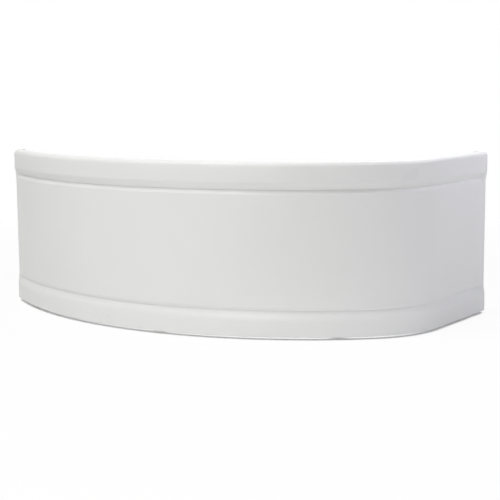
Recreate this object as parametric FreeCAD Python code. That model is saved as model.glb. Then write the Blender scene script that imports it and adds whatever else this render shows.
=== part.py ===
import FreeCAD, Part
import math
import os

# Front panel of an asymmetric corner bath, with the frame, brackets and feet behind it.
# Millimetres, +Z up. X runs along the long back wall and Y towards it, so that one end of
# the panel meets the short wall, at low X, and the other end meets the long wall, at high Y.

os.makedirs("parts", exist_ok=True)

# Plan of the panel's outer face, from the short wall round to the long wall
bow_radius = 1120.0
bow_angle = 74.8
corner_radius = 320.0
corner_angle = 44.5
return_length = 277.0
groove_run_out = 40.0
end_radius = 21.0
end_flange = 25.0

# Upright section of the moulded skin, from the top down. Depths are behind the two proud bands.
panel_height = 532.0
floor_gap = 8.0
skin = 4.0
lip_depth = 28.0
top_edge_radius = 15.0
top_band_height = 63.5
top_step_height = 21.5
top_groove_depth = 13.0
field_top_edge = 11.0
field_top_depth = 4.5
field_bottom_depth = 4.0
field_bottom_edge = 9.0
bottom_groove_depth = 9.5
bottom_step_height = 24.5
bottom_band_height = 57.0
bottom_edge_radius = 4.5
top_band_radius = 14.0
bottom_band_radius = 60.0
groove_radius = 1.5
field_top_radius = 13.0
field_bottom_radius = 10.0
top_band_bottom = panel_height - top_band_height
top_groove_height = top_band_bottom - top_step_height
field_top = top_groove_height - field_top_edge
bottom_groove_height = bottom_band_height + bottom_step_height
field_bottom = bottom_groove_height + field_bottom_edge

# At both ends the grooves have run out, and a plain soft step is left of each
top_end_depth = 3.4
bottom_end_depth = 3.3
end_step_radius = 40.0

# Glass-fibre layer behind the skin, and the plywood rails bonded to it behind the bands
backing = 2.5
backing_top_margin = 20.0
backing_bottom_margin = 12.0
rail_thickness = 15.0
rail_clearance = 14.0
rail_end_gap = 5.0
rail_corner_gap = 45.0
backing_bottom = backing_bottom_margin
backing_top = panel_height - backing_top_margin
top_rail_bottom = top_band_bottom + rail_clearance
bottom_rail_top = bottom_band_height - rail_clearance
rail_front = -(skin + backing)
rail_back = rail_front - rail_thickness

# Plywood uprights, screwed to the rails. Each stands at a distance along the outer face.
upright_width = 60.0
upright_thickness = 18.0
upright_inset = 5.0
upright_bottom = backing_bottom + upright_inset
upright_top = backing_top - upright_inset
upright_back = rail_back - upright_thickness
bow_length = bow_radius * math.radians(bow_angle)
corner_length = corner_radius * math.radians(corner_angle)
stations = {
    "left": 0.12 * bow_length,
    "centre": 0.52 * bow_length,
    "right": 0.92 * bow_length,
    "return": bow_length + corner_length + 0.50 * return_length,
}

# Slotted steel brackets that reach under the bath's rim
bracket_plate = 3.0
rim_bracket_width = 36.0
rim_bracket_drop = 72.0
rim_bracket_reach = 52.0
rim_bracket_rise = 8.0
rim_bracket_top = upright_top + rim_bracket_rise
rim_hole_radius = 3.25
rim_hole_reach = 32.0
slot_width = 6.2
slot_length = 46.0
slot_centre_drop = 40.0
slot_screw_spacing = 20.0
bend_radius = 2.0

# Steel brackets that carry the adjustable feet
foot_plate = 4.0
foot_bracket_width = 38.0
foot_bracket_height = 72.0
foot_bracket_reach = 58.0
foot_bracket_lift = 11.0
foot_bracket_bottom = upright_bottom + foot_bracket_lift
foot_reach = 33.0
foot_hole_radius = 5.5
foot_screw_low = 26.0
foot_screw_high = 56.0

# Adjustable feet: threaded stud in a moulded pad, with a nut and washer each side of the plate
stud_radius = 4.9
stud_bottom = 5.0
stud_top = floor_gap + foot_bracket_bottom + foot_bracket_height
stud_chamfer = 1.0
nut_bore_radius = 4.95
nut_across_flats = 16.0
nut_height = 8.4
washer_radius = 10.0
washer_bore_radius = 5.25
washer_thickness = 2.0
pad_radius = 22.5
pad_rim = 4.0
pad_shoulder_radius = 12.0
pad_shoulder = 13.0
pad_top_radius = 10.0
pad_height = 16.0
pad_edge = 1.0

# Wood screws and the large washers that clamp the slotted brackets
screw_radius = 2.5
screw_length = 15.0
screw_head_radius = 4.75
screw_head = 3.2
slot_washer_radius = 9.0
slot_washer = 1.5
rail_screw_radius = 2.0
rail_screw_length = 30.0
rail_screw_head_radius = 4.0
rail_screw_head = 2.4
rail_screw_offset = 24.0

UP = FreeCAD.Vector(0, 0, 1)


def heading(degrees):
    return FreeCAD.Vector(math.cos(math.radians(degrees)), math.sin(math.radians(degrees)), 0)


def plan_path():
    """The outer face in plan, as segments that know where they start and which way they head."""
    wall_turn = bow_angle + corner_angle
    layout = [
        ("left flange", 0.0, end_flange, 0.0),
        ("left corner", end_radius, 0.0, 180.0 - wall_turn),
        ("left run-out", 0.0, groove_run_out, 0.0),
        ("bow", bow_radius, 0.0, bow_angle),
        ("corner", corner_radius, 0.0, corner_angle),
        ("return", 0.0, return_length, 0.0),
        ("right run-out", 0.0, groove_run_out, 0.0),
        ("right corner", end_radius, 0.0, 90.0),
        ("right flange", 0.0, end_flange, 0.0),
    ]
    point = FreeCAD.Vector(0, 0, 0)
    facing = -90.0
    path = {}
    for name, radius, length, angle in layout:
        centre = point + heading(facing + 90) * radius
        path[name] = {
            "start": point,
            "facing": facing,
            "radius": radius,
            "length": length,
            "angle": angle,
            "centre": centre,
        }
        if radius:
            facing = facing + angle
            point = centre + heading(facing - 90) * radius
        else:
            point = point + heading(facing) * length
    # The middle of the whole outline goes to X = 0, Y = 0, and the skin stands floor_gap up
    low = FreeCAD.Vector(0, path["bow"]["centre"].y - bow_radius, 0)
    high = FreeCAD.Vector(path["return"]["start"].x, path["right flange"]["start"].y, 0)
    shift = FreeCAD.Vector(0, 0, floor_gap) - (low + high) * 0.5
    for segment in path.values():
        segment["start"] = segment["start"] + shift
        segment["centre"] = segment["centre"] + shift
    return path


PATH = plan_path()
ENDS = ("left flange", "left corner", "right corner", "right flange")
GROOVED = ("bow", "corner", "return")
FACE = ("left run-out",) + GROOVED + ("right run-out",)


def placed(segment, run):
    """Local frame on a segment: x out of the face, y along it, z up, run millimetres or degrees in."""
    if segment["radius"]:
        facing = segment["facing"] + run
        base = segment["centre"] + heading(facing - 90) * segment["radius"]
    else:
        facing = segment["facing"]
        base = segment["start"] + heading(facing) * run
    return FreeCAD.Placement(base, FreeCAD.Rotation(UP, facing - 90))


def station(distance):
    """Local frame at a distance along the bow, corner and return."""
    if distance <= bow_length:
        return placed(PATH["bow"], math.degrees(distance / bow_radius))
    if distance <= bow_length + corner_length:
        return placed(PATH["corner"], math.degrees((distance - bow_length) / corner_radius))
    return placed(PATH["return"], distance - bow_length - corner_length)


def sweep(face, segment, run_from, run_to):
    """Carry an upright section, drawn in x and z, along part of one segment."""
    at = face.copy()
    at.Placement = placed(segment, run_from)
    if segment["radius"]:
        return at.revolve(segment["centre"], UP, run_to - run_from)
    return at.extrude(heading(segment["facing"]) * (run_to - run_from))


def run_out(face_from, face_to, segment):
    """Blend one upright section evenly into another along one straight segment."""
    wires = []
    for face, run in ((face_from, 0.0), (face_to, segment["length"])):
        wire = face.OuterWire.copy()
        wire.Placement = placed(segment, run)
        wires.append(wire)
    return Part.makeLoft(wires, True, True)


def whole(segment):
    return segment["angle"] if segment["radius"] else segment["length"]


def offset_line(points, depth):
    """A line of (x, z, corner radius) moved to its inner side, which is on the right of its run."""
    moved = []
    normals = []
    for a, b in zip(points, points[1:]):
        length = math.hypot(b[0] - a[0], b[1] - a[1])
        normals.append(((b[1] - a[1]) / length, -(b[0] - a[0]) / length))
    for i, (x, z, radius) in enumerate(points):
        before = normals[max(i - 1, 0)]
        after = normals[min(i, len(normals) - 1)]
        share = 1.0 + before[0] * after[0] + before[1] * after[1]
        turn = before[0] * after[1] - before[1] * after[0]
        new_radius = radius + depth if turn > 0 else radius - depth
        moved.append((
            x + depth * (before[0] + after[0]) / share,
            z + depth * (before[1] + after[1]) / share,
            max(new_radius, 0.0) if radius else 0.0,
        ))
    return moved


def rounded_edges(points):
    """Straight edges through the points, in the x-z plane, with each corner's radius put in."""
    at = [FreeCAD.Vector(x, 0, z) for x, z, radius in points]
    edges = []
    last = at[0]
    for i in range(1, len(at) - 1):
        back = (at[i - 1] - at[i]).normalize()
        on = (at[i + 1] - at[i]).normalize()
        half = back.getAngle(on) / 2
        radius = points[i][2] if points[i][2] > 0.05 else 0.0
        reach = radius / math.tan(half)
        middle = at[i] + (back + on).normalize() * (radius / math.sin(half) - radius)
        first = at[i] + back * reach
        second = at[i] + on * reach
        if last.distanceToPoint(first) > 1e-6:
            edges.append(Part.makeLine(last, first))
        if radius:
            edges.append(Part.Arc(first, middle, second).toShape())
        last = second
    if last.distanceToPoint(at[-1]) > 1e-6:
        edges.append(Part.makeLine(last, at[-1]))
    return edges


def band_face(outer, inner):
    """The face between two lines that run the same way."""
    edges = rounded_edges(outer) + rounded_edges(inner)
    for i in (0, -1):
        a = FreeCAD.Vector(outer[i][0], 0, outer[i][1])
        b = FreeCAD.Vector(inner[i][0], 0, inner[i][1])
        edges.append(Part.makeLine(a, b))
    return Part.Face(Part.Wire(Part.__sortEdges__(edges)))


def rectangle(x_from, x_to, z_from, z_to):
    corners = [(x_from, z_from), (x_to, z_from), (x_to, z_to), (x_from, z_to), (x_from, z_from)]
    return Part.Face(Part.makePolygon([FreeCAD.Vector(x, 0, z) for x, z in corners]))


def plan_edge(segment, out, height):
    """One segment's line in plan, moved out of the face by out, at a height over the panel's foot."""
    lift = UP * height
    if segment["radius"]:
        start = segment["facing"] - 90
        return Part.makeCircle(
            segment["radius"] + out, segment["centre"] + lift, UP, start, start + segment["angle"]
        )
    side = heading(segment["facing"] - 90) * out
    a = segment["start"] + side + lift
    return Part.makeLine(a, a + heading(segment["facing"]) * segment["length"])


def plan_point(segment, run, out, height):
    return placed(segment, run).multVec(FreeCAD.Vector(out, 0, height))


def lip(edge_radius, height):
    """Flat lip turned in at the top or bottom of the skin, from its rounded edge inwards."""
    outer = [plan_edge(s, -edge_radius, height) for s in PATH.values()]
    inner = [plan_edge(PATH[name], -lip_depth, height) for name in FACE]
    ends = []
    for flange, run, main, main_run in (
        (PATH["left flange"], 0.0, PATH["left run-out"], 0.0),
        (PATH["right flange"], end_flange, PATH["right run-out"], groove_run_out),
    ):
        a = plan_point(flange, run, -edge_radius, height)
        b = plan_point(flange, run, -edge_radius - skin, height)
        c = plan_point(main, main_run, -lip_depth, height)
        ends.append(Part.makeLine(a, b))
        ends.append(Part.makeLine(b, c))
    wire = Part.Wire(Part.__sortEdges__(outer + inner + ends))
    return Part.Face(wire).extrude(UP * skin)


def screw(radius, length, head_radius, head, countersunk):
    """Wood screw along local -x, with its head's seat at x = 0, pointing towards +x."""
    shank = Part.makeCylinder(radius, length, FreeCAD.Vector(0, 0, 0), FreeCAD.Vector(1, 0, 0))
    if countersunk:
        top = Part.makeCone(
            head_radius, radius, head, FreeCAD.Vector(0, 0, 0), FreeCAD.Vector(1, 0, 0)
        )
    else:
        top = Part.makeCylinder(
            head_radius, head, FreeCAD.Vector(-head, 0, 0), FreeCAD.Vector(1, 0, 0)
        )
    return shank.fuse(top).removeSplitter()


def put(shape, y, x, z, frame):
    """A copy of a shape moved to x, y, z of a local frame."""
    copy = shape.copy()
    copy.translate(FreeCAD.Vector(x, y, z))
    copy.Placement = frame.multiply(copy.Placement)
    return copy


def bent_plate(corner_x, corner_z, reach_x, reach_z, plate, width):
    """An angle bent from plate, its outer corner at corner_x and corner_z, width along y."""
    sx = 1 if reach_x > 0 else -1
    sz = 1 if reach_z > 0 else -1
    outer = [
        (corner_x + reach_x, corner_z, 0.0),
        (corner_x, corner_z, bend_radius + plate),
        (corner_x, corner_z + reach_z, 0.0),
    ]
    inner = [
        (corner_x + reach_x, corner_z + sz * plate, 0.0),
        (corner_x + sx * plate, corner_z + sz * plate, bend_radius),
        (corner_x + sx * plate, corner_z + reach_z, 0.0),
    ]
    face = band_face(outer, inner)
    face.translate(FreeCAD.Vector(0, -width / 2, 0))
    return face.extrude(FreeCAD.Vector(0, width, 0))


def save(name, shape):
    shape.exportStep("parts/" + name + ".step")


# The moulded skin: a grooved section on the face, which blends into a plainer one towards each
# end, and a lip at top and bottom
section = [
    (-top_edge_radius, panel_height, 0.0),
    (0.0, panel_height, top_edge_radius),
    (0.0, top_band_bottom, top_band_radius),
    (-top_groove_depth, top_groove_height, groove_radius),
    (-field_top_depth, field_top, field_top_radius),
    (-field_bottom_depth, field_bottom, field_bottom_radius),
    (-bottom_groove_depth, bottom_groove_height, groove_radius),
    (0.0, bottom_band_height, bottom_band_radius),
    (0.0, 0.0, bottom_edge_radius),
    (-bottom_edge_radius, 0.0, 0.0),
]
end_step = [
    (-top_end_depth, top_groove_height, end_step_radius),
    (-field_top_depth, field_top, end_step_radius),
    (-field_bottom_depth, field_bottom, end_step_radius),
    (-bottom_end_depth, bottom_groove_height, end_step_radius),
]
end_section = section[:3] + end_step + section[7:]
skin_face = band_face(section, offset_line(section, skin))
end_face = band_face(end_section, offset_line(end_section, skin))
pieces = [sweep(skin_face, PATH[name], 0.0, whole(PATH[name])) for name in GROOVED]
pieces += [sweep(end_face, PATH[name], 0.0, whole(PATH[name])) for name in ENDS]
pieces.append(run_out(end_face, skin_face, PATH["left run-out"]))
pieces.append(run_out(skin_face, end_face, PATH["right run-out"]))
pieces.append(lip(top_edge_radius, panel_height - skin))
pieces.append(lip(bottom_edge_radius, 0.0))
save("acrylic_skin", pieces[0].multiFuse(pieces[1:]).removeSplitter())

# The glass-fibre layer, laid up behind the skin between its two lips
middle = [(0.0, backing_top, 0.0)] + section[2:8] + [(0.0, backing_bottom, 0.0)]
backing_face = band_face(offset_line(middle, skin), offset_line(middle, skin + backing))
pieces = [sweep(backing_face, PATH[name], 0.0, whole(PATH[name])) for name in GROOVED]
save("fibreglass_backing", pieces[0].multiFuse(pieces[1:]).removeSplitter())

# Rails, bent round the bow and straight on the return, with the screw holes for the uprights
rails = {}
for level, z_from, z_to in (
    ("top", top_rail_bottom, backing_top),
    ("bottom", backing_bottom, bottom_rail_top),
):
    face = rectangle(rail_back, rail_front, z_from, z_to)
    first = math.degrees(rail_end_gap / bow_radius)
    last = bow_angle - math.degrees(rail_corner_gap / bow_radius)
    rails[level + "_rail_bow"] = sweep(face, PATH["bow"], first, last)
    rails[level + "_rail_return"] = sweep(
        face, PATH["return"], rail_corner_gap, return_length - rail_end_gap
    )

# Uprights, with their front faces shaped to the rails and their backs flat
rail_screws = []
rim_screws = []
rim_washers = []
foot_screws = []
foot_washers = []
wood_screw = screw(screw_radius, screw_length, screw_head_radius, screw_head, False)
rail_screw = screw(
    rail_screw_radius, rail_screw_length, rail_screw_head_radius, rail_screw_head, True
)
top_screw_height = (top_rail_bottom + upright_top) / 2
bottom_screw_height = (upright_bottom + bottom_rail_top) / 2
stud_x = upright_back - foot_reach
foot_plate_top = foot_bracket_bottom + foot_plate

for name, distance in stations.items():
    frame = station(distance)

    upright = Part.makeBox(
        upright_thickness + 3.0,
        upright_width,
        upright_top - upright_bottom,
        FreeCAD.Vector(upright_back, -upright_width / 2, upright_bottom),
    )
    upright.Placement = frame.multiply(upright.Placement)
    in_front = rectangle(rail_back, rail_back + 30.0, 0.0, panel_height)
    if distance <= bow_length:
        at = math.degrees(distance / bow_radius)
        upright = upright.cut(sweep(in_front, PATH["bow"], at - 5.0, at + 5.0))
    else:
        at = distance - bow_length - corner_length
        upright = upright.cut(sweep(in_front, PATH["return"], at - 60.0, at + 60.0))

    screws = []
    for z in (top_screw_height, bottom_screw_height):
        for y in (-rail_screw_offset, rail_screw_offset):
            screws.append(put(rail_screw, y, upright_back, z, frame))
    rail_screws += screws
    for rail in rails:
        for s in screws:
            if s.BoundBox.intersect(rails[rail].BoundBox):
                rails[rail] = rails[rail].cut(s)
    for s in screws:
        upright = upright.cut(s)

    # Slotted rim bracket: leg down the back of the upright, shelf turned in under the rim
    rim = bent_plate(
        upright_back, rim_bracket_top, -rim_bracket_reach, -rim_bracket_drop,
        bracket_plate, rim_bracket_width,
    )
    slot_z = rim_bracket_top - slot_centre_drop
    straight = slot_length - slot_width
    slot = Part.makeBox(
        bracket_plate + 2.0, slot_width, straight,
        FreeCAD.Vector(upright_back - bracket_plate - 1.0, -slot_width / 2, slot_z - straight / 2),
    )
    for end in (-straight / 2, straight / 2):
        slot = slot.fuse(Part.makeCylinder(
            slot_width / 2, bracket_plate + 2.0,
            FreeCAD.Vector(upright_back - bracket_plate - 1.0, 0, slot_z + end),
            FreeCAD.Vector(1, 0, 0),
        ))
    hole = Part.makeCylinder(
        rim_hole_radius, bracket_plate + 2.0,
        FreeCAD.Vector(upright_back - rim_hole_reach, 0, rim_bracket_top - bracket_plate - 1.0), UP,
    )
    rim = rim.cut(slot.removeSplitter()).cut(hole)
    rim.Placement = frame.multiply(rim.Placement)
    save("rim_bracket_" + name, rim)

    seat = upright_back - bracket_plate - slot_washer
    ring = Part.makeCylinder(
        slot_washer_radius, slot_washer, FreeCAD.Vector(seat, 0, 0), FreeCAD.Vector(1, 0, 0)
    ).cut(Part.makeCylinder(
        screw_radius, slot_washer, FreeCAD.Vector(seat, 0, 0), FreeCAD.Vector(1, 0, 0)
    ))
    for z in (slot_z - slot_screw_spacing / 2, slot_z + slot_screw_spacing / 2):
        one = put(wood_screw, 0.0, seat, z, frame)
        rim_screws.append(one)
        rim_washers.append(put(ring, 0.0, 0.0, z, frame))
        upright = upright.cut(one)

    # Foot bracket: leg up the back of the upright, plate turned in to take the stud
    foot = bent_plate(
        upright_back, foot_bracket_bottom, -foot_bracket_reach, foot_bracket_height,
        foot_plate, foot_bracket_width,
    )
    foot = foot.cut(Part.makeCylinder(
        foot_hole_radius, foot_plate + 2.0,
        FreeCAD.Vector(stud_x, 0, foot_bracket_bottom - 1.0), UP,
    ))
    foot.Placement = frame.multiply(foot.Placement)
    for z in (foot_bracket_bottom + foot_screw_low, foot_bracket_bottom + foot_screw_high):
        one = put(wood_screw, 0.0, upright_back - foot_plate, z, frame)
        foot_screws.append(one)
        upright = upright.cut(one)
        foot = foot.cut(one)
    save("upright_" + name, upright)
    save("foot_bracket_" + name, foot)

    # Washers and nuts above and below the plate, on the stud's axis
    washer = Part.makeCylinder(washer_radius, washer_thickness).cut(
        Part.makeCylinder(washer_bore_radius, washer_thickness)
    )
    foot_washers.append(put(washer, 0.0, stud_x, foot_bracket_bottom - washer_thickness, frame))
    foot_washers.append(put(washer, 0.0, stud_x, foot_plate_top, frame))
    corners = []
    for i in range(7):
        turn = heading(60.0 * i) * (nut_across_flats / math.sqrt(3.0))
        corners.append(turn)
    nut = Part.Face(Part.makePolygon(corners)).extrude(UP * nut_height)
    nut = nut.cut(Part.makeCylinder(nut_bore_radius, nut_height))
    under = foot_bracket_bottom - washer_thickness - nut_height
    save("foot_lower_nut_" + name, put(nut, 0.0, stud_x, under, frame))
    save("foot_upper_nut_" + name, put(nut, 0.0, stud_x, foot_plate_top + washer_thickness, frame))

    # Stud and pad stand on the floor, which is floor_gap below the panel's foot
    stud = Part.makeCylinder(stud_radius, stud_top - stud_bottom - stud_chamfer)
    stud = stud.fuse(Part.makeCone(
        stud_radius, stud_radius - stud_chamfer, stud_chamfer,
        FreeCAD.Vector(0, 0, stud_top - stud_bottom - stud_chamfer), UP,
    )).removeSplitter()
    save("foot_stud_" + name, put(stud, 0.0, stud_x, stud_bottom - floor_gap, frame))
    outline = [
        (0.0, 0.0), (pad_radius - pad_edge, 0.0), (pad_radius, pad_edge), (pad_radius, pad_rim),
        (pad_shoulder_radius, pad_shoulder), (pad_top_radius, pad_height),
        (stud_radius, pad_height), (stud_radius, stud_bottom), (0.0, stud_bottom), (0.0, 0.0),
    ]
    pad = Part.Face(Part.makePolygon([FreeCAD.Vector(x, 0, z) for x, z in outline]))
    pad = pad.revolve(FreeCAD.Vector(0, 0, 0), UP, 360)
    save("foot_pad_" + name, put(pad, 0.0, stud_x, -floor_gap, frame))

for name, rail in rails.items():
    save(name, rail)
save("upright_screws", Part.makeCompound(rail_screws))
save("rim_bracket_screws", Part.makeCompound(rim_screws))
save("rim_bracket_washers", Part.makeCompound(rim_washers))
save("foot_bracket_screws", Part.makeCompound(foot_screws))
save("foot_washers", Part.makeCompound(foot_washers))
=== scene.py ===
import bpy
import numpy as np
from mathutils import Matrix, Vector


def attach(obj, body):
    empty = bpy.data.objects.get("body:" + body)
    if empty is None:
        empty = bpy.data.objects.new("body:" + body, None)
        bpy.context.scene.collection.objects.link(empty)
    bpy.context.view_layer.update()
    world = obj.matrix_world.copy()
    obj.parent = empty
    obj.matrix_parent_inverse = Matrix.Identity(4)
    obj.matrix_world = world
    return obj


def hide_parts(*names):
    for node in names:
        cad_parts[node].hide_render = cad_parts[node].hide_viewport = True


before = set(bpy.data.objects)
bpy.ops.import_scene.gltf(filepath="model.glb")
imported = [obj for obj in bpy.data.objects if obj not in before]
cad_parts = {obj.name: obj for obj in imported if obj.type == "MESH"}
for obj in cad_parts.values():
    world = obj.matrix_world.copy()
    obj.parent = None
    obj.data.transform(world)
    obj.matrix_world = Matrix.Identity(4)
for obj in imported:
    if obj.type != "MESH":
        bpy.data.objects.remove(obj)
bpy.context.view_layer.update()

# Acrylic skin: one sheet of white acrylic, 4 mm thick, heated and drawn by vacuum over a mould
# that gives it two proud bands, a sloping step and a groove by each, and a plain field between.
# Its upper and lower edges turn in as flat lips, and both ends turn back towards the walls.
MM = 0.001
FLOOR_GAP = 8.0
BOW_RADIUS = 1120.0
CORNER_RADIUS = 320.0
END_RADIUS = 21.0
BOW_LENGTH = BOW_RADIUS * np.radians(74.8)
CORNER_LENGTH = CORNER_RADIUS * np.radians(44.5)
RETURN_LENGTH = 277.0
GROOVED_LENGTH = BOW_LENGTH + CORNER_LENGTH + RETURN_LENGTH
RUN_OUT = 40.0
END_FLANGE = 25.0

# The plan's nine stretches, from the short wall to the long wall: how far each runs and how
# sharply it bends. Distances along the face are counted from where the bow begins.
runs = np.array([
    END_FLANGE, END_RADIUS * np.radians(60.7), RUN_OUT, BOW_LENGTH, CORNER_LENGTH,
    RETURN_LENGTH, RUN_OUT, END_RADIUS * np.radians(90.0), END_FLANGE,
])
bends = np.array([
    0.0, 1.0 / END_RADIUS, 0.0, 1.0 / BOW_RADIUS, 1.0 / CORNER_RADIUS,
    0.0, 0.0, 1.0 / END_RADIUS, 0.0,
])
turns = runs * bends
begins = np.concatenate([[0.0], np.cumsum(runs)]) - np.sum(runs[:3])
facings = np.radians(-90.0) + np.concatenate([[0.0], np.cumsum(turns)[:-1]])


def run_on(facing, run, bend):
    """The step in plan after a run that begins facing one way and bends evenly.

    It is the chord: run times sin(half turn) / half turn long, heading half the turn on.
    """
    half = run * bend / 2.0
    chord = run * np.sinc(half / np.pi)
    return np.stack([chord * np.cos(facing + half), chord * np.sin(facing + half)], axis=-1)


steps = run_on(facings, runs, bends)
starts = np.concatenate([[[0.0, 0.0]], np.cumsum(steps, axis=0)[:-1]])
bow_lowest = starts[3, 1] + BOW_RADIUS * (np.cos(facings[3]) - 1.0)
starts -= (np.array([0.0, bow_lowest]) + np.array([starts[5, 0], starts[8, 1]])) / 2.0


def plan_at(distance):
    """Place of the outer face, and the way straight out of it, at distances along the face."""
    stretch = np.clip(np.searchsorted(begins, distance, side="right") - 1, 0, len(runs) - 1)
    run = distance - begins[stretch]
    place = starts[stretch] + run_on(facings[stretch], run, bends[stretch])
    facing = facings[stretch] + run * bends[stretch]
    return place, np.stack([np.sin(facing), -np.cos(facing)], axis=-1)


SKIN = 4.0
PANEL_HEIGHT = 532.0
LIP_DEPTH = 28.0
TOP_EDGE = 15.0
BOTTOM_EDGE = 4.5
# Section from the top down: how far out of the bands' face, how high, and the corner's radius.
# At the ends the grooves have run out, and a plain soft step is left of each.
section = np.array([
    (-TOP_EDGE, PANEL_HEIGHT, 0.0), (0.0, PANEL_HEIGHT, TOP_EDGE), (0.0, 468.5, 14.0),
    (-13.0, 447.0, 1.5), (-4.5, 436.0, 13.0), (-4.0, 90.5, 10.0), (-9.5, 81.5, 1.5),
    (0.0, 57.0, 60.0), (0.0, 0.0, BOTTOM_EDGE), (-BOTTOM_EDGE, 0.0, 0.0),
])
end_section = section.copy()
end_section[[3, 6], 0] = -3.4, -3.3
end_section[3:7, 2] = 40.0


def unit(v):
    """Vectors brought to a length of one."""
    return v / np.linalg.norm(v, axis=-1, keepdims=True)


def behind(line, depth):
    """A line of (out, up, radius) moved back by a depth, its corners kept round one centre."""
    along = unit(np.diff(line[:, :2], axis=0))
    normal = np.stack([along[:, 1], -along[:, 0]], axis=-1)
    before = normal[np.r_[0, 0:len(normal)]]
    after = normal[np.r_[0:len(normal), -1]]
    share = 1.0 + np.sum(before * after, axis=1, keepdims=True)
    outer_bend = before[:, 0] * after[:, 1] - before[:, 1] * after[:, 0] > 0.0
    radius = line[:, 2] + np.where(outer_bend, depth, -depth)
    moved = line[:, :2] + depth * (before + after) / share
    return np.column_stack([moved, np.where(line[:, 2] > 0.0, radius, 0.0)])


def rounded(line, cuts=10):
    """Points on a line of (out, up, radius): each inner corner becomes an arc.

    The arc's centre lies radius / sin(half the corner's angle) along the corner's middle line,
    and its points swing evenly from one tangent point to the other.
    """
    corner = line[1:-1, :2]
    back = unit(line[:-2, :2] - corner)
    on = unit(line[2:, :2] - corner)
    half = np.arccos(np.sum(back * on, axis=1)) / 2.0
    radius = line[1:-1, 2]
    reach = (radius / np.tan(half))[:, None]
    centre = corner + unit(back + on) * (radius / np.sin(half))[:, None]
    swing = (np.pi - 2.0 * half)[:, None]
    t = np.linspace(0.0, 1.0, cuts)
    first = (np.sin((1.0 - t) * swing) / np.sin(swing))[..., None]
    second = (np.sin(t * swing) / np.sin(swing))[..., None]
    arcs = centre[:, None] + first * (corner + back * reach - centre)[:, None]
    arcs = arcs + second * (corner + on * reach - centre)[:, None]
    return np.concatenate([line[:1, :2], arcs.reshape(-1, 2), line[-1:, :2]])


def filled(longest, *lines):
    """Lines of matching points with more points put in, so that no gap on the first is longest."""
    measure = np.r_[0.0, np.cumsum(np.linalg.norm(np.diff(lines[0], axis=0), axis=1))]
    at = np.arange(len(measure))
    extra = np.interp(np.arange(longest, measure[-1], longest), measure, at)
    extra = extra[np.abs(extra - np.round(extra)) > 0.05]
    index = np.union1d(at, extra)
    return [np.stack([np.interp(index, at, line[:, k]) for k in (0, 1)], axis=1) for line in lines]


def lip_edge(distance, place, outward, edge_radius):
    """The lip's inner edge in plan: its depth behind the face, then straight to each end."""
    edge = place - LIP_DEPTH * outward
    ends = place[[0, -1]] - (edge_radius + SKIN) * outward[[0, -1]]
    first, last = begins[2], begins[7]
    left = np.clip((distance - first) / (distance[0] - first), 0.0, 1.0)[:, None]
    right = np.clip((distance - last) / (distance[-1] - last), 0.0, 1.0)[:, None]
    face_start, face_end = np.argmin(np.abs(distance - first)), np.argmin(np.abs(distance - last))
    edge = np.where(left > 0.0, ends[0] * left + edge[face_start] * (1.0 - left), edge)
    return np.where(right > 0.0, ends[1] * right + edge[face_end] * (1.0 - right), edge)


distance = np.unique(np.concatenate([
    np.linspace(begins[k], begins[k + 1], cuts + 1)
    for k, cuts in enumerate((3, 16, 20, 150, 44, 12, 20, 22, 3))
]))
place, outward = plan_at(distance)
half_length = GROOVED_LENGTH / 2.0
from_run_out = np.clip((half_length - np.abs(distance - half_length)) / RUN_OUT + 1.0, 0.0, 1.0)
grooved = (from_run_out ** 2 * (3.0 - 2.0 * from_run_out))[:, None, None]
lines = [
    rounded(behind(line, depth), cuts=12)
    for depth in (0.0, SKIN)
    for line in (section, end_section)
]
front, front_end, back, back_end = filled(40.0, *lines)
NOSE, NOSE_MIDDLE = 0.8, 0.23
nose_in = np.array([NOSE, NOSE_MIDDLE, 0.0, 0.0, NOSE_MIDDLE, NOSE])
nose_up = np.array([0.0, NOSE_MIDDLE, NOSE, SKIN - NOSE, SKIN - NOSE_MIDDLE, SKIN])


def skin_line(line, end_line):
    """A front or back line at every distance: plan place plus its depth along the way out.

    The grooved line passes smoothly into the plainer end line over the run-outs.
    """
    blend = end_line + (line - end_line) * grooved
    flat = place[:, None] + outward[:, None] * blend[..., :1]
    return np.concatenate([flat, blend[..., 1:]], axis=-1)


def skin_nose(edge_radius, up):
    """A lip's trimmed nose, between the lip's rounded edge and its inner edge in plan."""
    edge = lip_edge(distance, place, outward, edge_radius)
    share = (nose_in / (LIP_DEPTH - edge_radius))[None, :, None]
    flat = edge[:, None] * (1.0 - share) + (place - edge_radius * outward)[:, None] * share
    return np.concatenate([flat, np.broadcast_to(up[:, None], flat.shape[:2] + (1,))], axis=-1)


skin_grid = np.concatenate([
    skin_line(front, front_end),
    skin_nose(BOTTOM_EDGE, nose_up),
    skin_line(back, back_end)[:, ::-1],
    skin_nose(TOP_EDGE, PANEL_HEIGHT - SKIN + nose_up),
], axis=1)[None]


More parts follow.
